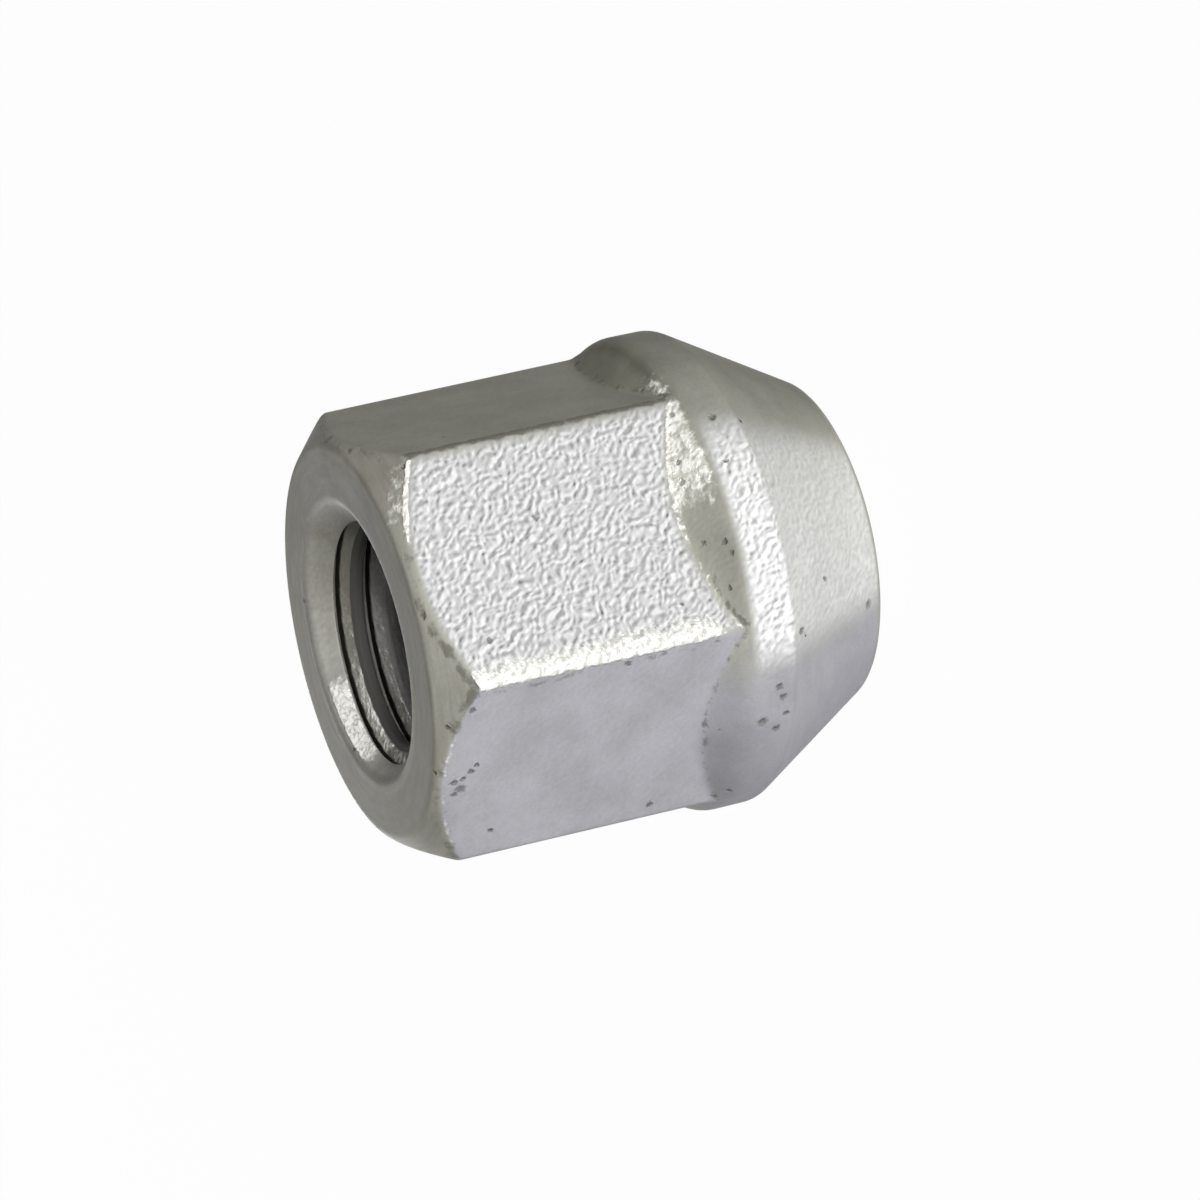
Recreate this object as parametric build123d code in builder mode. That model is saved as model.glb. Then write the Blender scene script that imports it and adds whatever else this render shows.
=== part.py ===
from build123d import *

import os
from math import radians, tan

# Open-end lug nut for an M12 x 1.5 wheel stud: a forged steel hexagon that swells into
# a round collar, whose underside is a 60 degree conical seat. One piece, millimetres.
# It stands on the small end of its seat: z = 0 is that face and the bore is along +Z.

# overall
overall_length = 22.7

# hexagon that the socket grips, its corners on +X and -X
across_flats = 19.0          # at the middle of the hexagon
hex_draft = 0.5              # degrees, the flats close in towards the open end
hex_corner_radius = 0.5
hex_base = 7.7               # buried in the collar

# chamfer round the open end
end_face_radius = 9.1
chamfer_angle = 42.0         # from the end face
rim_break = 0.15             # on the outer rim of both end faces

# collar and conical seat
collar_radius = 11.2
seat_end_radius = 7.65       # small end of the seat
seat_angle = 60.0            # included angle
collar_edge_radius = 0.5     # between the seat and the collar

# shoulder between the collar and the hexagon
shoulder_angle = 48.0        # from the bore's axis
shoulder_top = 8.25          # where shoulder and collar would meet with no crest
crest_radius = 2.0           # rounds that meeting
blend_radius = 0.6           # hollow at the foot of the hexagon

# threaded bore, plain here at the thread's inner diameter
thread_diameter = 12.0
thread_pitch = 1.5
inner_diameter_drop = 1.0825  # in pitches, for a metric thread
countersink_radius = 6.5
countersink_angle = 90.0

# construction margins, inside the hexagon and outside its corners
core_margin = 1.0
cutter_margin = 1.0

# worked out
hex_height = overall_length - hex_base
hex_base_apothem = across_flats / 2 + tan(radians(hex_draft)) * hex_height / 2
seat_height = (collar_radius - seat_end_radius) / tan(radians(seat_angle / 2))
core_radius = across_flats / 2 - core_margin
core_height = shoulder_top + (collar_radius - core_radius) / tan(radians(shoulder_angle))
cutter_radius = collar_radius + cutter_margin
chamfer_drop = (cutter_radius - end_face_radius) * tan(radians(chamfer_angle))
bore_radius = (thread_diameter - inner_diameter_drop * thread_pitch) / 2

with BuildPart() as nut:
    # collar, seat and shoulder, turned about the bore
    with BuildSketch(Plane.YZ) as collar_profile:
        with BuildLine():
            Polyline(
                (0, 0),
                (seat_end_radius, 0),
                (collar_radius, seat_height),
                (collar_radius, shoulder_top),
                (core_radius, core_height),
                (0, core_height),
                close=True,
            )
        make_face()
        seat_edge, crest = collar_profile.vertices().group_by(Axis.X)[-1].sort_by(Axis.Y)
        fillet(crest, crest_radius)
        fillet(seat_edge, collar_edge_radius)
    revolve(axis=Axis.Z)

    # drafted hexagon with rounded corners, standing in the collar
    with BuildSketch(Plane.XY.offset(hex_base)) as hexagon:
        RegularPolygon(hex_base_apothem, 6, major_radius=False)
        fillet(hexagon.vertices(), hex_corner_radius)
    extrude(amount=hex_height, taper=hex_draft)

    # the hollow that carries each flat and each corner out into the shoulder
    fillet(nut.edges(Select.NEW), blend_radius)

    # conical chamfer across the six corners
    with BuildSketch(Plane.YZ) as chamfer_profile:
        with BuildLine():
            Polyline(
                (end_face_radius, overall_length),
                (cutter_radius, overall_length),
                (cutter_radius, overall_length - chamfer_drop),
                close=True,
            )
        make_face()
    revolve(axis=Axis.Z, mode=Mode.SUBTRACT)

    # broken outer rims of the two end faces
    chamfer(nut.edges().group_by(Axis.Z)[-1] + nut.edges().group_by(Axis.Z)[0], rim_break)

    # bore, countersunk at both ends
    with Locations(Plane.XY.offset(overall_length), -Plane.XY):
        CounterSinkHole(bore_radius, countersink_radius, counter_sink_angle=countersink_angle)

nut.part.label = "lug_nut"

os.makedirs("parts", exist_ok=True)
export_step(nut.part, "parts/lug_nut.step")
print("volume", round(nut.part.volume), "mm3, size", nut.part.bounding_box().size)
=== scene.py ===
from math import cos, pi, radians, sin, tan

import bpy
import numpy as np
from mathutils import Matrix, Vector


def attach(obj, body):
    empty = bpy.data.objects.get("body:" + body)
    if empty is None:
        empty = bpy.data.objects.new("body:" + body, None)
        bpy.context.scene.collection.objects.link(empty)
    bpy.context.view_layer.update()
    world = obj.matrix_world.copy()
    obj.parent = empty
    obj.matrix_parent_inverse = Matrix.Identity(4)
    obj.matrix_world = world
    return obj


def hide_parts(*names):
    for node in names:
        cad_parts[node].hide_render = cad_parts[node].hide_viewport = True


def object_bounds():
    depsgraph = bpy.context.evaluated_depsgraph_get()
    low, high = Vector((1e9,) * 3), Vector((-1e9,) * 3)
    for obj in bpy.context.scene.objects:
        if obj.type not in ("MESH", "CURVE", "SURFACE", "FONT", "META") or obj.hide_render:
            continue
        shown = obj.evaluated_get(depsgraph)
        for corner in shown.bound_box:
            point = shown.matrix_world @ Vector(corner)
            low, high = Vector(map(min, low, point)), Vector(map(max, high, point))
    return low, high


# Open-end lug nut for an M12 x 1.5 wheel stud, forged in steel with a matt silver zinc coat.
# It stands on the small end of its seat, with the bore along +Z and a hexagon corner on +X.
# Sizes are in millimetres and angles in degrees; Blender gets metres.
# Heights are above the seat's small end, and directions round the axis are counted from +X towards +Y.

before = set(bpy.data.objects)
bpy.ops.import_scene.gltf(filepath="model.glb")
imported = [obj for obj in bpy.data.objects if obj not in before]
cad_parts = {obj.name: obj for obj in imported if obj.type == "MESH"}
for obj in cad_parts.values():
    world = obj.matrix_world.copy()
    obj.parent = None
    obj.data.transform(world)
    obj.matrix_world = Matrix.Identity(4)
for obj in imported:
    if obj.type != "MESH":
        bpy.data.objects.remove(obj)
cadLow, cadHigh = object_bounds()
mm = 0.001

# the nut's shape

nut = {
    "length": cadHigh.z / mm,
    "collarRadius": cadHigh.x / mm,
    "acrossFlats": 19.0,       # at the middle of the hexagon
    "hexagonBase": 7.7,
    "hexagonDraft": 0.5,
    "hexagonSink": 0.5,
    "cornerRadius": 0.5,
    "endFaceRadius": 9.1,
    "chamferAngle": 42.0,      # from the end face
    "chamferEnd": 11.3,        # radius where the chamfer's row ends, outside the hexagon
    "noChamfer": 20.0,         # radius of the turned outline below that row, clear of every corner
    "seatEndRadius": 7.65,
    "seatAngle": 30.0,         # from the axis
    "shoulderTop": 8.25,
    "shoulderAngle": 48.0,     # from the axis
    "collarTop": 18.0,         # the shoulder's line ends here, far inside the hexagon
    "mouthRadius": 6.5,
    "ringRadius": 6.95,        # on both flat ends, where the bore's wider columns begin
    "ringGap": 0.12,           # between that radius and the outside's first and last rows
    "mouthAngle": 45.0,        # of the countersinks, from the axis
    "threadInner": 5.188,
    "threadOuter": 6.0,
    "pitch": 1.5,
    "threadHand": 1,           # 1 right-handed, -1 left-handed
    "threadStart": 0.43,       # in turns
    # how wide each meeting of two surfaces is rounded
    "seatRounding": 0.08,
    "crestRounding": 0.6,
    "footAtCorners": 0.35,
    "footAtFlats": 0.3,
    "chamferRounding": 0.28,
    "threadRounding": 0.05,
    # how far each sharp corner of the turned ends is cut back before it is rounded
    "rimRounding": 0.2,
    "seatRimRounding": 0.15,
    "mouthRounding": 0.25,
    # grid
    "columns": 420,            # round the outside; the bore has a third of them
    "columnPull": 0.6,         # how strongly the columns gather at the hexagon's corners
}


# the larger of a and b; where they differ by less than width, a parabola rounds their meeting
def smoothMax(a, b, width):
    gap = np.maximum(width - np.abs(a - b), 0)
    return np.maximum(a, b) + gap * gap / (4 * width)


# the smaller of a and b, rounded the same way
def smoothMin(a, b, width):
    return -smoothMax(-a, -b, width)


# 0 up to low and 1 from high, along t * t * (3 - 2 * t) between them
def ramp(value, low, high):
    t = np.clip((value - low) / (high - low), 0, 1)
    return t * t * (3 - 2 * t)


# 1 at middle, falling to 0 at width on both sides along the same curve
def band(value, middle, width):
    return 1 - ramp(np.abs(value - middle), 0, width)


# distance from the axis to a drafted hexagon: apothem / cos(angle from the flat's middle),
# and near a corner the far side of a circle that touches both flats
def hexagonRadius(angle, height):
    middle = (nut["length"] + nut["hexagonBase"]) / 2
    apothem = nut["acrossFlats"] / 2 + tan(radians(nut["hexagonDraft"])) * (middle - height)
    fromCorner = np.abs((angle + pi / 6) % (pi / 3) - pi / 6)
    straight = apothem / np.cos(pi / 6 - fromCorner)
    rounding = nut["cornerRadius"]
    centre = (apothem - rounding) / cos(pi / 6)
    across = centre * np.sin(fromCorner)
    arc = centre * np.cos(fromCorner) + np.sqrt(np.maximum(rounding**2 - across**2, 0))
    tangent = np.arctan2(rounding / 2, centre + rounding * cos(pi / 6))
    return np.where(fromCorner < tangent, arc, straight)


# the conical seat, the collar and the shoulder: three straight lines with rounded meetings
def collarRadius(height):
    seat = nut["seatEndRadius"] + height * tan(radians(nut["seatAngle"]))
    shoulder = nut["collarRadius"] - (height - nut["shoulderTop"]) * tan(radians(nut["shoulderAngle"]))
    collar = smoothMin(seat, nut["collarRadius"] + 0 * height, nut["seatRounding"])
    return smoothMin(collar, shoulder, nut["crestRounding"])


# a metric thread: groove flat, flank and crest as a clipped triangle wave of the place along
# the pitch, which moves one pitch in each turn; the countersinks cut it at both ends
def boreRadius(angle, height):
    turns = height / nut["pitch"] - nut["threadHand"] * angle / (2 * pi) + nut["threadStart"]
    fromGroove = np.abs(turns % 1 - 0.5)
    drop = (fromGroove - 1 / 16) * nut["pitch"] * tan(radians(60))
    thread = nut["threadOuter"] - smoothMax(drop, 0 * drop, nut["threadRounding"])
    thread = smoothMax(thread, nut["threadInner"] + 0 * thread, nut["threadRounding"])
    slope = tan(radians(nut["mouthAngle"]))
    mouth = nut["mouthRadius"] - np.minimum(height, nut["length"] - height) * slope
    return smoothMax(thread, mouth, nut["threadRounding"])


# points from start to end, evenly spaced at no more than step
def stretch(start, end, step):
    count = max(int(np.ceil(np.linalg.norm(end - start) / step)), 1)
    return list(start + (end - start) * np.linspace(0, 1, count + 1)[:, None])


# points along straight stretches, (radius, height) each, with the parabola
# (1 - t)^2 start + 2 t (1 - t) corner + t^2 end at each inner corner
def roundedPath(corners, rounding, step):
    corners = [np.array(c, float) for c in corners]
    points = [corners[0]]
    for before, corner, after, size in zip(corners, corners[1:], corners[2:], rounding):
        into = (corner - before) / np.linalg.norm(corner - before)
        out = (after - corner) / np.linalg.norm(after - corner)
        start, end = corner - into * size, corner + out * size
        points += stretch(points[-1], start, step)[1:]
        t = np.linspace(0, 1, 6)[1:, None]
        points += list((1 - t) ** 2 * start + 2 * t * (1 - t) * corner + t**2 * end)
    return np.array(points + stretch(points[-1], corners[-1], step)[1:])


# heights from each stop to the next, at about the step given with it
def levels(*stops):
    heights = [stops[0][0]]
    for (top, step), (bottom, _) in zip(stops, stops[1:]):
        count = round((top - bottom) / step)
        heights += list(np.linspace(top, bottom, count + 1)[1:])
    return np.array(heights)


# the turned outline over the open end: end face, rounded rim and chamfer
def turnedPath():
    length, rim, far = nut["length"], nut["endFaceRadius"], nut["chamferEnd"]
    drop = (far - rim) * tan(radians(nut["chamferAngle"]))
    corners = [(nut["ringRadius"] + nut["ringGap"], length), (rim, length), (far, length - drop)]
    return roundedPath(corners, [nut["rimRounding"]], 0.11)


# the hexagon's radius for the mesh: below the shoulder's top it draws in with the square of the
# depth, and so sinks into the collar
def sunkHexagon(angle, height):
    depth = np.maximum(nut["shoulderTop"] - height, 0)
    return hexagonRadius(angle, height) - nut["hexagonSink"] * depth**2


# the collar's radius for the mesh: above collarTop, where it is hidden in the hexagon, it stays level
def cappedCollar(height):
    return collarRadius(np.minimum(height, nut["collarTop"]))


# rows from the end face, over its rim and down the outside to the ring round the other mouth,
# with the masks that the coat's wear follows
def outsideRows(angle):
    seatEnd, seatRim = nut["seatEndRadius"], 0.3
    top = turnedPath()
    side = levels((top[-1, 1], 0.32), (13.8, 0.17), (6.5, 0.07), (5.8, 0.32), (seatRim, 1))[1:]
    widening = seatRim * tan(radians(nut["seatAngle"]))
    corners = [(seatEnd + widening, seatRim), (seatEnd, 0), (nut["ringRadius"] + nut["ringGap"], 0)]
    bottom = roundedPath(corners, [nut["seatRimRounding"]], 0.3)[1:]
    height = np.concatenate([top[:, 1], side])[:, None]
    turned = np.concatenate([top[:, 0], np.full(len(side), nut["noChamfer"])])[:, None]
    hexagon = sunkHexagon(angle, height)
    collar = cappedCollar(height)
    radius = smoothMin(turned, hexagon, nut["chamferRounding"])
    nearCorner = (0.5 + 0.5 * np.cos(6 * angle)) ** 2
    foot = nut["footAtFlats"] + (nut["footAtCorners"] - nut["footAtFlats"]) * nearCorner
    radius = smoothMax(radius, collar, foot)
    masks = outsideMasks(angle, height, turned - hexagon, hexagon - collar)
    below = np.broadcast_to(bottom[:, :1], (len(bottom), len(angle)))
    radius = np.concatenate([radius, below])
    masks = {name: np.concatenate([mask, 0 * below]) for name, mask in masks.items()}
    height = np.concatenate([height[:, 0], bottom[:, 1]])[:, None]
    return radius, np.broadcast_to(height, radius.shape), masks


# rows up the bore from one end's ring to the other's, closest together at the open end,
# where its thread is seen
def boreRows(angle):
    length, ring, mouth, depth = nut["length"], nut["ringRadius"], nut["mouthRadius"], 0.35
    rim = roundedPath([(ring, 0), (mouth, 0), (mouth - depth, depth)], [nut["mouthRounding"]], 0.2)
    height = levels((length - depth, 0.05), (18.2, 0.15), (2.0, 0.07), (depth, 1))[-2:0:-1, None]
    radius = boreRadius(angle, height)
    lower = np.broadcast_to(rim[:, :1], (len(rim), len(angle)))
    height = np.concatenate([rim[:, 1], height[:, 0], length - rim[::-1, 1]])[:, None]
    radius = np.concatenate([lower, radius, lower[::-1]])
    height = np.broadcast_to(height, radius.shape)
    return radius, height, boreMasks(angle, radius, height)


# where the coat differs, each mask from 0 to about 1

wear = {
    "front": -90.0,            # direction of the roughest flat
    "edgeA": -60.0,            # its two corners
    "edgeB": -120.0,
    "edgeRadius": 10.8,        # turns an angle into a length round the corners
    "mouthHighlight": 115.0,      # direction of the bore's bright side, where a highlight is painted
}


# how far each point is round from a direction, as a length at the hexagon's corners
def roundFrom(angle, direction):
    return ((angle - radians(direction) + pi) % (2 * pi) - pi) * wear["edgeRadius"]


# 1 on the side of the open end that lies under edge B, half of that up to edge A
def belowB(angle):
    fromB = roundFrom(angle, wear["edgeB"])
    ends = (1 - ramp(fromB, 7.0, 11.0)) * (1 - ramp(-fromB, 15.0, 21.0))
    return (1 - 0.5 * ramp(fromB, -1.0, 4.0)) * ends


# chamferGap is positive where the flat stands inside the chamfer's cone, footGap where it stands
# outside the collar, so each meeting lies where its gap passes 0
def outsideMasks(angle, height, chamferGap, footGap):
    height, angle = np.broadcast_arrays(height, angle)
    fromA, fromB = roundFrom(angle, wear["edgeA"]), roundFrom(angle, wear["edgeB"])
    onFlat = ramp(footGap, 0, 0.3) * ramp(chamferGap, 0, 0.12)
    inFlat = ramp(footGap, 0.1, 0.5) * ramp(chamferGap, 0.1, 0.55)
    onChamfer = 1 - ramp(chamferGap, -0.15, 0.15)
    onLand = ramp(height, 5.9, 6.2) * (1 - ramp(height, 7.6, 8.2))
    onSeat = 1 - ramp(height, 5.9, 6.1)
    onShoulder = (1 - ramp(footGap, -0.1, 0.1)) * ramp(height, 7.9, 8.5)
    onCollar = 1 - ramp(footGap, -0.1, 0.1)
    facing = ramp(fromB, -0.3, 0.2) * ramp(-fromA, -0.1, 0.2)
    inFacing = ramp(fromB, 0.0, 0.3) * ramp(-fromA, 0.0, 0.7)
    landFacing = ramp(fromB, -2.5, 0.0) * ramp(-fromA, 1.2, 4.0)
    hidden = ramp(np.abs(roundFrom(angle, wear["front"])), 16, 22)
    # the wrinkled coat, strongest on the flat and land that face the front: its lighter colour there is
    # painted light
    rough = (inFacing + 0.3 * hidden + 0.08) * (inFlat + 0.06 * onChamfer)
    rough += (landFacing + 0.2 * hidden + 0.06) * (0.9 * onLand + 0.25 * onSeat + 0.15 * onShoulder)
    # bright worn metal along edge B and in flecks past it, and painted highlights, drawn as worn metal, on
    # the chamfer's line and corner beside A, the foot near A and the facing flats' lips
    bandB = ramp(fromB, -0.35, 0.05) * (1 - ramp(fromB, 0.0, 1.5)) * onFlat * ramp(height, 8.8, 10.0)
    lineA = band(chamferGap, 0.06, 0.32) * ramp(fromB, 6.8, 8.5) * ramp(-fromA, 0.0, 0.2)
    beforeA = ramp(fromB, 7.8, 9.2) * ramp(-fromA, -0.8, 0.1)
    cornerA = 0.38 * onChamfer * ramp(chamferGap, -1.2, -0.7) * beforeA
    flecksB = 0.4 * band(chamferGap, 0.1, 0.25) * ramp(-fromB, 1.5, 3.0) * (1 - ramp(-fromB, 10.0, 11.0))
    footA = 0.7 * ramp(-fromA, -2.8, -1.2) + 0.3 * ramp(-fromA, -0.3, 0.3)
    footA = footA * onShoulder * ramp(fromB, 4.5, 7.5)
    lip = (0.45 + 0.4 * ramp(fromB, 4, 7)) * band(footGap, 0.1, 0.25) * facing
    wearAndGlint = np.maximum.reduce([0.95 * bandB, lineA, 0.65 * footA, lip, cornerA, flecksB])
    # dirt along edge A and at the chamfer's border, and painted shade in the crease at each flat's foot
    # and under edge B
    lineOverA = 0.8 * band(fromA, 0.12, 0.42) * onFlat
    tip = ramp(-fromA, 8.0, 10.0) * (1 - ramp(-fromA, 10.8, 11.6))
    crease = band(footGap, -0.05, 0.25) * (0.4 * (1 - facing) + 0.8 * tip)
    underB = 0.3 * band(fromB, -0.4, 0.3) * onFlat
    nearB = band(fromB, 0.5, 5.0)
    border = (0.3 + 0.4 * nearB) * band(chamferGap, -0.1, 0.5) * (1 - lineA)
    grimeAndShade = np.maximum.reduce([lineOverA, crease, underB, border])
    # colour: painted warm light makes the shoulder, the chamfer and the end ring yellowish, painted warm
    # shade lies past edge A and painted bluish light past edge B, and painted shade dulls the collar's
    # sides and parts of the shoulder, the chamfer and the end ring
    upperShade = (1 - onCollar) * ramp(fromA, -0.1, 0.1) + onCollar * ramp(fromA, -4.0, 3.0)
    lower = (1 - onCollar) * ramp(-fromB, -0.1, 0.3) + onCollar * ramp(-fromB, -1.0, 4.0)
    upperShade, lower = upperShade * (1 - hidden), lower * (1 - hidden)
    onRing = ramp(height, nut["length"] - 0.15, nut["length"] - 0.02)
    below = belowB(angle)
    # painted warm light, yellowish: on the shoulder except past edge B, on the chamfer less near B, and on
    # the end ring under B and on its hidden side
    chamferWarmLight = (0.5 - 0.2 * nearB) * onChamfer * ramp(chamferGap, -2.2, -0.9)
    ringWarmLight = onRing * np.maximum(0.8 * below, 0.5 * hidden)
    paintedWarmLight = np.maximum.reduce([onShoulder * (1 - lower), chamferWarmLight, ringWarmLight])
    # painted highlights: the land and seat that face the front and the chamfer past A are painted pale
    paintedLight = landFacing * (onLand + 0.5 * onSeat)
    paintedLight += onChamfer * (0.2 * ramp(fromA, 0.0, 3.0) * (1 - hidden) + 0.07 * hidden)
    # painted shade on the collar's sides, the shoulder's facing and upper parts, the chamfer near B and
    # the end ring under B
    paintedShade = upperShade * (1.2 * onCollar - 0.4 * onSeat) + 0.5 * lower * (onCollar - onSeat)
    paintedShade += onShoulder * facing * ramp(-fromA, 1.5, 8.0) * (1.8 - ramp(height, 8.3, 9.6))
    paintedShade += 1.2 * onShoulder * upperShade * band(height, 8.5, 0.4)
    paintedShade += 0.35 * onChamfer * (1 - ramp(fromB, 5.0, 9.0)) * (1 - hidden) + 0.4 * onRing * below
    return {
        "wrinklesAndLight": rough, "wearAndGlint": wearAndGlint, "grimeAndShade": grimeAndShade, "paintedWarmLight": paintedWarmLight, "paintedLight": paintedLight,
        "upperShade": upperShade * (1 - onChamfer), "lower": lower * (1 - onChamfer),
        "paintedShade": paintedShade,
        "turned": onChamfer + 0.3 * onSeat,
        "bare": 0 * wearAndGlint, "shadedGroove": 0 * wearAndGlint,
    }


# the thread's first crests are bare and dark; deeper in and round the countersink the coat is painted pale
# as painted light, and its grooves black as painted shade; the part of the countersink and of the first
# flanks that faces the front carries a painted highlight drawn as worn metal, with worn flecks on the
# flanks; a little warm light is painted over the bore, and more warm light and painted shade at the end
# under edge B
def boreMasks(angle, radius, height):
    inner, outer = nut["threadInner"], nut["threadOuter"]
    depth = np.minimum(height, nut["length"] - height)
    mouth = nut["mouthRadius"] - depth * tan(radians(nut["mouthAngle"]))
    inThread = ramp(radius - mouth, 0.03, 0.12) * ramp(depth, 0.4, 0.6)
    shadedGroove = ramp(radius, outer - 0.09, outer - 0.02) * inThread
    crest = (1 - ramp(radius, inner + 0.2, inner + 0.32)) * ramp(depth, 1.3, 1.4)
    bare = crest * (1 - ramp(depth, 2.6, 3.2))
    opposite = np.abs(roundFrom(angle, wear["mouthHighlight"]))
    bright = (1 - ramp(opposite, 2.5, 6.0)) * ramp(depth, 0.05, 0.25)
    onFlank = inThread * (1 - crest) * (1 - ramp(depth, 5.0, 6.5))
    around = 0.1 + 0.3 * (1 - ramp(opposite, 8.0, 14.0)) * ramp(depth, 0.1, 0.3)
    paintedLight = np.maximum(np.maximum(bright, around) * (1 - inThread), ramp(depth, 2.0, 2.8))
    below = belowB(angle) * (1 - inThread)
    wearAndGlint = bright * (1 - inThread) + onFlank * (0.35 + 0.35 * bright) * (1 - ramp(opposite, 9.0, 15.0))
    none = 0 * radius
    return {
        "wrinklesAndLight": none + 0.15, "wearAndGlint": wearAndGlint, "grimeAndShade": none, "paintedWarmLight": 0.3 + 0.7 * below, "paintedLight": paintedLight,
        "upperShade": none, "lower": none, "paintedShade": 0.4 * below, "turned": none + 1.0,
        "bare": bare, "shadedGroove": shadedGroove,
    }


# four-cornered faces of a grid that is closed round its columns
def gridFaces(first, rows, columns):
    at = first + np.arange(rows * columns).reshape(rows, columns)
    beside = np.roll(at, -1, 1)
    return np.stack([at[:-1], at[1:], beside[1:], beside[:-1]], -1).reshape(-1, 4)


# between a row of 3n points (a to d) and one of n (e and f): for each point of the second row
# a triangle, a four-cornered face and a triangle
def joinFaces(fine, coarse, flip):
    a, b, c = fine[0::3], fine[1::3], fine[2::3]
    d, e, f = np.roll(a, -1), coarse, np.roll(coarse, -1)
    faces = []
    for corners in ((e, a, b), (e, b, c, f), (f, c, d)):
        faces += np.stack(corners, 1).tolist()
    return [face[::-1] for face in faces] if flip else faces


# the nut as one closed mesh: the grids of the outside and of the bore, each point at
# (radius cos(angle), radius sin(angle), height), joined by a ring of faces at both ends
def makeNut():
    even = np.arange(nut["columns"]) / nut["columns"] * 2 * pi
    angle = even - nut["columnPull"] * np.sin(6 * even) / 6
    outRadius, outHeight, outMasks = outsideRows(angle)
    inRadius, inHeight, inMasks = boreRows(angle[::3])
    places = []
    for radius, height, turn in ((outRadius, outHeight, angle), (inRadius, inHeight, angle[::3])):
        places.append(np.stack([radius * np.cos(turn), radius * np.sin(turn), height], -1).reshape(-1, 3))
    outCount, inCount = outRadius.size, inRadius.size
    faces = gridFaces(0, *outRadius.shape).tolist() + gridFaces(outCount, *inRadius.shape).tolist()
    outIndex = np.arange(outCount).reshape(outRadius.shape)
    inIndex = outCount + np.arange(inCount).reshape(inRadius.shape)
    faces += joinFaces(outIndex[0], inIndex[-1], False)
    faces += joinFaces(outIndex[-1], inIndex[0], True)
    mesh = bpy.data.meshes.new("lugNut")
    mesh.from_pydata(np.concatenate(places) * mm, [], faces)
    mesh.shade_smooth()
    for name in outMasks:
        values = np.concatenate([outMasks[name].ravel(), inMasks[name].ravel()])
        mesh.attributes.new(name, "FLOAT", "POINT").data.foreach_set("value", values.astype(np.float32))
    piece = bpy.data.objects.new("lugNut", mesh)
    bpy.context.scene.collection.objects.link(piece)
    print("nut:", len(mesh.vertices), "vertices,", sum(len(f) - 2 for f in faces), "triangles")
    return piece


# nodes

# a new node, with its inputs by name or place as numbers, or as sockets to link
def addNode(tree, kind, inputs=None, **settings):
    made = tree.nodes.new("ShaderNode" + kind)
    for name, value in settings.items():
        setattr(made, name, value)
    for name, value in (inputs or {}).items():
        if isinstance(value, bpy.types.NodeSocket):
            tree.links.new(value, made.inputs[name])
        else:
            made.inputs[name].default_value = value
    return made


# one step of arithmetic on numbers and sockets
def calculate(tree, operation, *values):
    return addNode(tree, "Math", dict(enumerate(values)), operation=operation).outputs[0]


# value from low..high to toLow..toHigh along a smooth step
def remap(tree, value, low, high, toLow=0.0, toHigh=1.0):
    span = {"Value": value, "From Min": low, "From Max": high, "To Min": toLow, "To Max": toHigh}
    return addNode(tree, "MapRange", span, interpolation_type="SMOOTHSTEP").outputs["Result"]


# the first colour turned into the second by share
def blend(tree, share, first, second):
    made = tree.nodes.new("ShaderNodeMix")
    made.data_type = "RGBA"
    for socket, value in ((made.inputs[0], share), (made.inputs[6], first), (made.inputs[7], second)):
        if isinstance(value, bpy.types.NodeSocket):
            tree.links.new(value, socket)
        else:
            socket.default_value = value if socket.type == "VALUE" else (*value, 1)
    return made.outputs[2]


# noise with about scale waves in a millimetre: its first output is one value, and its Color three
def noise(tree, position, scale, detail=2.0, roughness=0.5):
    inputs = {"Vector": position, "Scale": scale, "Detail": detail, "Roughness": roughness}
    return addNode(tree, "TexNoise", inputs)


# one of the mesh's masks
def attribute(tree, name):
    return addNode(tree, "Attribute", attribute_name=name).outputs["Fac"]


# a node group with named inputs and outputs, and the tree, its inputs and its output node
def newGroup(name, inputs, outputs):
    tree = bpy.data.node_groups.new(name, "ShaderNodeTree")
    for label, kind in inputs.items():
        tree.interface.new_socket(label, in_out="INPUT", socket_type="NodeSocket" + kind)
    for label, kind in outputs.items():
        tree.interface.new_socket(label, in_out="OUTPUT", socket_type="NodeSocket" + kind)
    start = tree.nodes.new("NodeGroupInput")
    end = tree.nodes.new("NodeGroupOutput")
    return tree, start.outputs, end.inputs


# the outputs of a node group whose inputs are given by name
def useGroup(tree, group, **inputs):
    return addNode(tree, "Group", inputs, node_tree=group).outputs


# finishes

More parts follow.
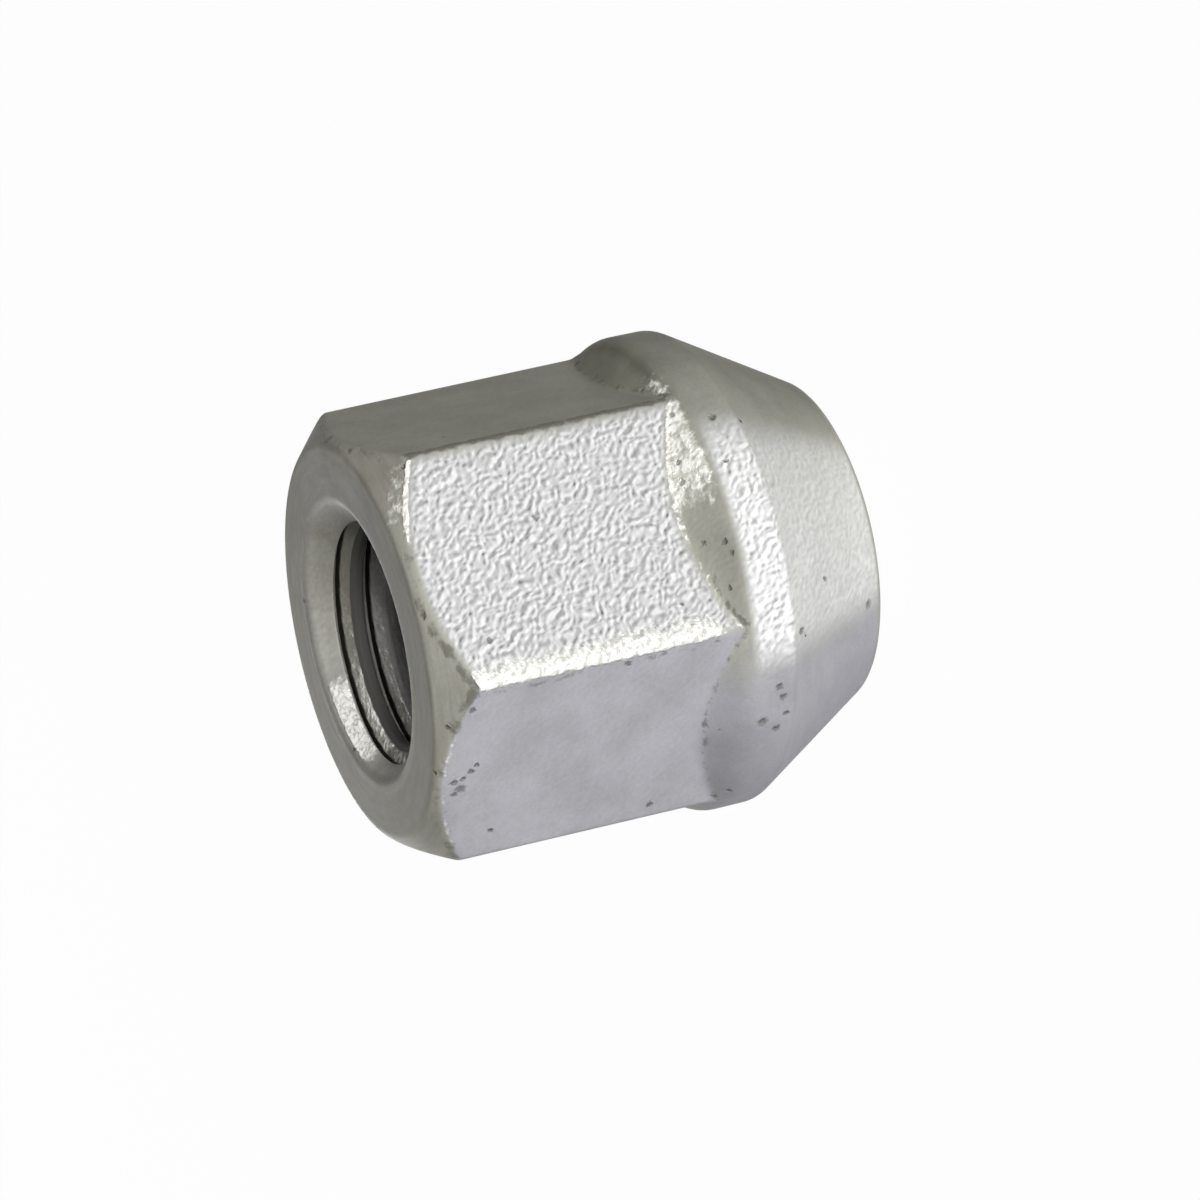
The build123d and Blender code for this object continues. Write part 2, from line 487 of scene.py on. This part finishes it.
coat = {
    "silver": (0.43, 0.425, 0.38),
    # painted warm shade for the side past edge A, then painted cool light for the side past edge B
    "upperShade": (0.405, 0.4, 0.345),
    "lower": (0.455, 0.45, 0.49),
    # the wrinkled coat, lighter where it faces the front: partly painted light
    "wrinklesAndLight": (0.645, 0.645, 0.65),
    # painted highlight
    "paintedLight": (0.97, 0.97, 0.97),
    # painted warm light
    "paintedWarmLight": (0.425, 0.415, 0.345),
    "stain": (0.3, 0.265, 0.22),
    # worn metal and painted highlights, then the same in their hollows
    "wearAndGlint": (0.98, 0.97, 0.93),
    "wearAndGlintHollow": (0.62, 0.6, 0.51),
    # dirt and painted shade in creases, also used for the pits
    "grimeAndShade": (0.13, 0.125, 0.105),
    "steel": (0.17, 0.168, 0.16),
    # painted shade in the thread's grooves
    "shadedGroove": (0.012, 0.012, 0.01),
    "paintedShadeShare": 0.2,          # how much darker the coat is where shade is painted on it
    "litSide": (0.06, 0.0, 0.06),  # from a ridge's crest to its bright side
    "ridgeContrast": 2.1,      # how strongly a ridge's two sides differ, for a rise of 1
    "roughness": 0.5,
    "wornRoughness": 0.38,
    "wornMetal": 0.75,
    "wearAndGlintLeast": 0.35,         # how much of the worn metal's brightness and painted highlight is left in its hollows
    "steelRoughness": 0.42,
    "specular": 0.03,
    "speckShare": 0.05,        # of the cells that hold a speck
    # waves in a millimetre
    "cloudScale": 0.35,
    "warpScale": 1.3,
    "lumpScale": 2.6,
    "ridgeScale": 4.1,
    "lineScale": 4.5,
    "shakeScale": 5.0,
    "grainScale": 7.0,
    # heights of the relief
    "ridgeHeight": 0.05,
    "grainHeight": 0.008,
    "lineHeight": 0.01,
    "lumpHeight": 0.12,
    "grimeDepth": 0.03,
    "pitDepth": 0.1,
}

# pits and small dents in the coat: direction, height and radius
pits = [
    (-145, 7.65, 0.26), (-136, 6.9, 0.18), (-139, 6.7, 0.2), (-144, 6.5, 0.16), (-148, 6.9, 0.2),
    (-128, 0.9, 0.24), (-114, 3.7, 0.15), (-124, 5.6, 0.18), (-69, 7.15, 0.2), (-71, 5.9, 0.12),
    (-81, 7.45, 0.13), (-99, 8.55, 0.15), (-102, 8.4, 0.13), (-110, 8.7, 0.12), (-98, 9.25, 0.14),
    (-81, 9.3, 0.2), (-76, 9.15, 0.14), (-122.5, 14.0, 0.16), (-81, 16.25, 0.14), (-110, 20.0, 0.15),
    (-150, 21.35, 0.15), (-154, 21.45, 0.28), (-151, 21.8, 0.2), (-148, 21.0, 0.17), (-146, 20.8, 0.12),
    (-155.5, 21.7, 0.18), (-172, 19.7, 0.14), (-176, 11.8, 0.17), (-172, 8.2, 0.15), (-131, 22.25, 0.14),
    (-126, 21.3, 0.16), (-147, 22.65, 0.12), (-100, 22.5, 0.2),
]


# the place on the outside at a direction and height
def surfaceAt(direction, height):
    angle, path = radians(direction), turnedPath()[::-1]
    turned = np.interp(height, path[:, 1], path[:, 0]) if height > path[0, 1] else nut["chamferEnd"]
    radius = max(min(turned, sunkHexagon(angle, height)), cappedCollar(height))
    return radius * cos(angle), radius * sin(angle), height


# worm-like ridges: one even noise, warped a little and drawn out along a leaning line; its rise
# along the slope towards the lit side gives each ridge a bright side and a shaded one
def makeWrinkles():
    outputs = {"Height": "Float", "Light": "Float"}
    tree, given, result = newGroup("wrinkles", {"Position": "Vector"}, outputs)
    warp = noise(tree, given["Position"], coat["warpScale"], 0.0).outputs["Color"]
    centred = addNode(tree, "VectorMath", {0: warp, 1: (0.5, 0.5, 0.5)}, operation="SUBTRACT").outputs[0]
    heights = []
    for side in (0.0, 1.0):
        shift = tuple(side * part for part in coat["litSide"])
        place = addNode(tree, "VectorMath", {0: given["Position"], 1: shift}, operation="ADD").outputs[0]
        inputs = {0: centred, 1: (0.35, 0.35, 0.35), 2: place}
        moved = addNode(tree, "VectorMath", inputs, operation="MULTIPLY_ADD").outputs[0]
        inputs = {"Vector": moved, "Rotation": (0, radians(50), 0), "Scale": (1.15, 1, 1)}
        leaning = addNode(tree, "Mapping", inputs, vector_type="TEXTURE").outputs[0]
        heights.append(noise(tree, leaning, coat["ridgeScale"], 0.3).outputs[0])
    tree.links.new(heights[0], result["Height"])
    tree.links.new(calculate(tree, "SUBTRACT", heights[0], heights[1]), result["Light"])
    return tree


# round specks in a share of the cells of a Voronoi pattern
def makeSpecks():
    inputs = {"Position": "Vector", "Scale": "Float", "Share": "Float", "Size": "Float"}
    tree, given, result = newGroup("specks", inputs, {"Mask": "Float"})
    cells = addNode(tree, "TexVoronoi", {"Vector": given["Position"], "Scale": given["Scale"]})
    chance = addNode(tree, "SeparateColor", {"Color": cells.outputs["Color"]}).outputs[0]
    chosen = calculate(tree, "LESS_THAN", chance, given["Share"])
    edge = calculate(tree, "MULTIPLY", given["Size"], 0.5)
    near = remap(tree, cells.outputs["Distance"], edge, given["Size"], 1.0, 0.0)
    tree.links.new(calculate(tree, "MULTIPLY", chosen, near), result["Mask"])
    return tree


# a soft mask with a broken edge: noise is added and the sum is cut off steeply
def makeRagged():
    inputs = {"Mask": "Float", "Position": "Vector", "Scale": "Float", "Amount": "Float"}
    tree, given, result = newGroup("ragged", inputs, {"Mask": "Float"})
    grain = noise(tree, given["Position"], given["Scale"], 3.0, 0.6).outputs[0]
    shift = calculate(tree, "MULTIPLY", calculate(tree, "SUBTRACT", grain, 0.5), given["Amount"])
    total = calculate(tree, "ADD", given["Mask"], shift)
    within = remap(tree, given["Mask"], 0.0, 0.12)
    shown = calculate(tree, "MULTIPLY", remap(tree, total, 0.25, 0.75), within)
    tree.links.new(shown, result["Mask"])
    return tree


# faint lines round the axis, from noise that is stretched along the circumference
def makeTurning():
    tree, given, result = newGroup("turning", {"Position": "Vector", "Share": "Float"}, {"Lines": "Float"})
    parts = addNode(tree, "SeparateXYZ", {0: given["Position"]}).outputs
    level = addNode(tree, "CombineXYZ", {0: parts[0], 1: parts[1]}).outputs[0]
    radius = addNode(tree, "VectorMath", {0: level}, operation="LENGTH").outputs["Value"]
    around = addNode(tree, "VectorMath", {0: level}, operation="NORMALIZE").outputs[0]
    across = calculate(tree, "MULTIPLY", calculate(tree, "SUBTRACT", radius, parts[2]), 0.7)
    upright = addNode(tree, "CombineXYZ", {2: across}).outputs[0]
    place = addNode(tree, "VectorMath", {0: around, 1: upright}, operation="ADD").outputs[0]
    lines = noise(tree, place, coat["lineScale"], 3.0, 0.6).outputs[0]
    lines = calculate(tree, "SUBTRACT", lines, 0.5)
    tree.links.new(calculate(tree, "MULTIPLY", lines, given["Share"]), result["Lines"])
    return tree


# the deepest of the listed pits at each place, from 0 to 1
def makePits():
    tree, given, result = newGroup("pits", {"Position": "Vector"}, {"Depth": "Float"})
    depth = 0.0
    for direction, height, size in pits:
        inputs = {0: given["Position"], 1: surfaceAt(direction, height)}
        distance = addNode(tree, "VectorMath", inputs, operation="DISTANCE").outputs["Value"]
        depth = calculate(tree, "MAXIMUM", depth, remap(tree, distance, size * 0.2, size * 1.3, 1.0, 0.0))
    tree.links.new(depth, result["Depth"])
    return tree


# the whole finish: colour, then roughness and metal, then relief, each following the masks
def makeCoat():
    material = bpy.data.materials.new("silverCoat")
    material.use_nodes = True
    tree = material.node_tree
    shader = tree.nodes["Principled BSDF"]
    objectPlace = addNode(tree, "TexCoord").outputs["Object"]
    position = addNode(tree, "VectorMath", {0: objectPlace, "Scale": 1 / mm}, operation="SCALE").outputs[0]
    shake = noise(tree, position, coat["shakeScale"]).outputs["Color"]
    inputs = {0: shake, 1: (0.3,) * 3, 2: position}
    shaken = addNode(tree, "VectorMath", inputs, operation="MULTIPLY_ADD").outputs[0]
    shaken = addNode(tree, "VectorMath", {0: shaken, 1: (0.15,) * 3}, operation="SUBTRACT").outputs[0]

    ragged, specks = makeRagged(), makeSpecks()
    worms = useGroup(tree, makeWrinkles(), Position=position)
    lit = worms["Light"]
    lines = useGroup(tree, makeTurning(), Position=position, Share=attribute(tree, "turned"))["Lines"]
    pit = useGroup(tree, makePits(), Position=shaken)["Depth"]
    inputs = {"Position": shaken, "Scale": 0.8, "Share": coat["speckShare"], "Size": 0.1}
    pit = calculate(tree, "MAXIMUM", pit, useGroup(tree, specks, **inputs)["Mask"])
    broken = {}
    for name, scale, amount in (("wearAndGlint", 2.2, 1.2), ("grimeAndShade", 1.6, 1.8), ("bare", 1.2, 0.7)):
        inputs = {"Mask": attribute(tree, name), "Position": position, "Scale": scale, "Amount": amount}
        broken[name] = useGroup(tree, ragged, **inputs)["Mask"]
    wearAndGlint, grimeAndShade, bare = broken["wearAndGlint"], broken["grimeAndShade"], broken["bare"]
    wrinklesAndLight = attribute(tree, "wrinklesAndLight")
    cloud = noise(tree, position, coat["cloudScale"], 4.0, 0.6).outputs[0]
    grain = noise(tree, position, coat["grainScale"], 3.0, 0.65).outputs[0]
    lump = noise(tree, position, coat["lumpScale"], 2.0, 0.6).outputs[0]

    # colour, with painted light and shade: warm shade past edge A, cool light past edge B, warm light on
    # the turned faces and the shoulder, and highlights where the coat is pale
    colour = blend(tree, attribute(tree, "upperShade"), coat["silver"], coat["upperShade"])
    colour = blend(tree, attribute(tree, "lower"), colour, coat["lower"])
    colour = blend(tree, attribute(tree, "paintedWarmLight"), colour, coat["paintedWarmLight"])
    colour = blend(tree, attribute(tree, "paintedLight"), colour, coat["paintedLight"])
    # painted shade: the coat is darker where that mask is high
    paintedShade = calculate(tree, "MULTIPLY", attribute(tree, "paintedShade"), coat["paintedShadeShare"])
    shade = calculate(tree, "SUBTRACT", remap(tree, cloud, 0.3, 0.7, 0.9, 1.08), paintedShade)
    shade = calculate(tree, "MULTIPLY", shade, remap(tree, grain, 0.25, 0.75, 0.95, 1.05))
    shade = calculate(tree, "MULTIPLY", shade, remap(tree, lines, -0.2, 0.2, 0.91, 1.09))
    colour = addNode(tree, "VectorMath", {0: colour, "Scale": shade}, operation="SCALE").outputs[0]
    # painted light: the wrinkled coat's lighter colour, paler still where highlights are painted
    paintedLight = calculate(tree, "MULTIPLY", attribute(tree, "paintedLight"), 0.5)
    colour = blend(tree, wrinklesAndLight, colour, blend(tree, paintedLight, coat["wrinklesAndLight"], coat["paintedLight"]))
    stain = remap(tree, cloud, 0.42, 0.68, 0.0, 0.45)
    stain = calculate(tree, "MULTIPLY", stain, attribute(tree, "turned"))
    colour = blend(tree, stain, colour, coat["stain"])
    # painted light and shade on the ridges: each lit side lighter, the other darker
    sides = calculate(tree, "MULTIPLY", lit, wrinklesAndLight)
    sides = calculate(tree, "MULTIPLY_ADD", sides, coat["ridgeContrast"], 1.0)
    colour = addNode(tree, "VectorMath", {0: colour, "Scale": sides}, operation="SCALE").outputs[0]
    colour = blend(tree, bare, colour, coat["steel"])
    # worn metal and the painted highlights drawn with it shine on its lumps and on the ridges' lit sides,
    # and less in its hollows and in the cracks where the colour is painted pale
    raised = calculate(tree, "MULTIPLY", lump, 1.5)
    raised = calculate(tree, "ADD", calculate(tree, "MULTIPLY", lit, 2.5), raised)
    least = calculate(tree, "MULTIPLY_ADD", attribute(tree, "paintedLight"), 0.3, coat["wearAndGlintLeast"])
    glint = calculate(tree, "MULTIPLY", wearAndGlint, remap(tree, raised, 0.3, 1.0, least, 1.0))
    fromCrack = calculate(tree, "ABSOLUTE", calculate(tree, "SUBTRACT", lump, 0.5))
    crack = remap(tree, fromCrack, 0.0, 0.05, 0.75, 0.0)
    crack = calculate(tree, "MULTIPLY", crack, attribute(tree, "paintedLight"))
    glint = calculate(tree, "MULTIPLY", glint, calculate(tree, "SUBTRACT", 1.0, crack))
    colour = blend(tree, calculate(tree, "SUBTRACT", wearAndGlint, glint), colour, coat["wearAndGlintHollow"])
    colour = blend(tree, glint, colour, coat["wearAndGlint"])
    # dirt, and painted shade in the creases and under edge B
    colour = blend(tree, calculate(tree, "MULTIPLY", grimeAndShade, 0.7), colour, coat["grimeAndShade"])
    # painted shade: the thread's grooves near black
    colour = blend(tree, attribute(tree, "shadedGroove"), colour, coat["shadedGroove"])
    colour = blend(tree, calculate(tree, "MULTIPLY", pit, 0.65), colour, coat["grimeAndShade"])
    tree.links.new(colour, shader.inputs["Base Color"])

    # roughness and metal
    rough = remap(tree, grain, 0.2, 0.8, coat["roughness"] - 0.05, coat["roughness"] + 0.08)
    for share, reached in ((wearAndGlint, coat["wornRoughness"]), (bare, coat["steelRoughness"])):
        rough = addNode(tree, "Mix", {0: share, 2: rough, 3: reached}, data_type="FLOAT").outputs[0]
    tree.links.new(rough, shader.inputs["Roughness"])
    tree.links.new(calculate(tree, "MULTIPLY", glint, coat["wornMetal"]), shader.inputs["Metallic"])
    shader.inputs["Specular IOR Level"].default_value = coat["specular"]

    # relief, in millimetres
    ridges = calculate(tree, "MULTIPLY", worms["Height"], wrinklesAndLight)
    relief = calculate(tree, "MULTIPLY", ridges, coat["ridgeHeight"])
    lumps = calculate(tree, "MULTIPLY", wearAndGlint, lump)
    parts = [
        (grain, coat["grainHeight"]), (lines, coat["lineHeight"]), (lumps, coat["lumpHeight"]),
        (pit, -coat["pitDepth"]), (grimeAndShade, -coat["grimeDepth"]),
    ]
    for part, height in parts:
        relief = calculate(tree, "MULTIPLY_ADD", part, height, relief)
    bump = addNode(tree, "Bump", {"Height": relief, "Distance": mm, "Strength": 1.0})
    tree.links.new(bump.outputs[0], shader.inputs["Normal"])
    return material


# floor, lamps and camera

stage = {"floorSize": 4000.0, "floorColour": 0.85, "shadowShare": 0.025, "ambient": 0.08}


# 1 on the rays that show the background: camera, glossy and transmission rays
def seenWhite(tree):
    path = addNode(tree, "LightPath").outputs
    seen = calculate(tree, "MAXIMUM", path["Is Camera Ray"], path["Is Glossy Ray"])
    return calculate(tree, "MAXIMUM", seen, path["Is Transmission Ray"])


# a flat square: white with a trace of shadow to the rays that show the background, and pale and
# matt to the rest
def makeFloor():
    half = stage["floorSize"] / 2 * mm
    mesh = bpy.data.meshes.new("floor")
    corners = [(-half, -half, 0), (half, -half, 0), (half, half, 0), (-half, half, 0)]
    mesh.from_pydata(corners, [], [(0, 1, 2, 3)])
    floor = bpy.data.objects.new("floor", mesh)
    bpy.context.scene.collection.objects.link(floor)
    material = bpy.data.materials.new("paleFloor")
    material.use_nodes = True
    tree = material.node_tree
    shader = tree.nodes["Principled BSDF"]
    shader.inputs["Base Color"].default_value = (stage["floorColour"],) * 3 + (1,)
    shader.inputs["Roughness"].default_value = 1.0
    shader.inputs["Specular IOR Level"].default_value = 0.0
    white = addNode(tree, "Emission")
    share = calculate(tree, "MULTIPLY", seenWhite(tree), 1 - stage["shadowShare"])
    mix = addNode(tree, "MixShader", {0: share, 1: shader.outputs[0], 2: white.outputs[0]})
    tree.links.new(mix.outputs[0], tree.nodes["Material Output"].inputs["Surface"])
    mesh.materials.append(material)


# white to the rays that show the background, and a dim even light to the rest
def makeWorld():
    world = bpy.data.worlds.new("studio")
    bpy.context.scene.world = world
    world.use_nodes = True
    tree = world.node_tree
    background = tree.nodes["Background"]
    background.inputs["Color"].default_value = (1, 1, 1, 1)
    inputs = {"Value": seenWhite(tree), "To Min": stage["ambient"], "To Max": 1.0}
    strength = addNode(tree, "MapRange", inputs)
    tree.links.new(strength.outputs[0], background.inputs["Strength"])


# azimuth 0 is at -Y and 90 at +X; level is what a white surface that faces the lamp renders at
lamps = {
    "low": {"azimuth": -30, "elevation": 1.5, "height": 40, "level": 0.36, "colour": (0.9, 0.94, 1)},
    "key": {"azimuth": -14, "elevation": 12, "height": 80, "level": 0.6, "colour": (1, 0.99, 0.94)},
    "back": {"azimuth": 180, "elevation": 8, "height": 200, "level": 0.6, "colour": (1, 1, 1)},
}
lampWidth = 200.0
lampDistance = 400.0


# unit vector towards a place in the studio: (sin a cos e, -cos a cos e, sin e)
def directionFrom(azimuth, elevation):
    turn, rise = radians(azimuth), radians(elevation)
    return Vector((sin(turn) * cos(rise), -cos(turn) * cos(rise), sin(rise)))


# flat lamps, all at one distance from the nut's middle and turned to face it
def makeLamps():
    centre = (cadLow + cadHigh) / 2
    for name, lamp in lamps.items():
        away = directionFrom(lamp["azimuth"], lamp["elevation"])
        data = bpy.data.lights.new(name, "AREA")
        data.shape = "RECTANGLE"
        data.size = lampWidth * mm
        data.size_y = lamp["height"] * mm
        data.energy = lamp["level"] * pi**2 * (lampDistance * mm) ** 2
        data.color = lamp["colour"]
        light = bpy.data.objects.new(name, data)
        light.location = centre + away * lampDistance * mm
        light.rotation_mode = "QUATERNION"
        light.rotation_quaternion = away.to_track_quat("Z", "Y")
        bpy.context.scene.collection.objects.link(light)


camera = {
    "azimuth": -12.952,
    "elevation": 20.896,
    "distance": 208.55,
    "aim": (-0.563, 0.129, 10.761),
    "roll": 102.77,            # the picture's up turned clockwise from the part's +Z
    "lens": 135.64,
    "sensor": 36.0,
}


# the camera stands back from the place it aims at, and is rolled about its line of sight
def makeCamera():
    back = directionFrom(camera["azimuth"], camera["elevation"])
    data = bpy.data.cameras.new("camera")
    data.lens = camera["lens"]
    data.sensor_width = camera["sensor"]
    data.clip_start = 0.005
    data.clip_end = 10
    view = bpy.data.objects.new("camera", data)
    view.rotation_mode = "QUATERNION"
    level = back.to_track_quat("Z", "Y").to_matrix()
    rolled = level @ Matrix.Rotation(-radians(camera["roll"]), 3, "Z")
    view.rotation_quaternion = rolled.to_quaternion()
    view.location = (Vector(camera["aim"]) + back * camera["distance"]) * mm
    bpy.context.scene.collection.objects.link(view)
    bpy.context.scene.camera = view


bpy.context.scene.view_settings.view_transform = "Standard"
makeFloor()
makeWorld()
makeLamps()
makeCamera()
print("stage: floor, world,", len(lamps), "lamps and camera")

lugNut = makeNut()
lugNut.data.materials.append(makeCoat())
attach(lugNut, "root")
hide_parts("lug_nut")
print("coat:", len(pits), "pits")
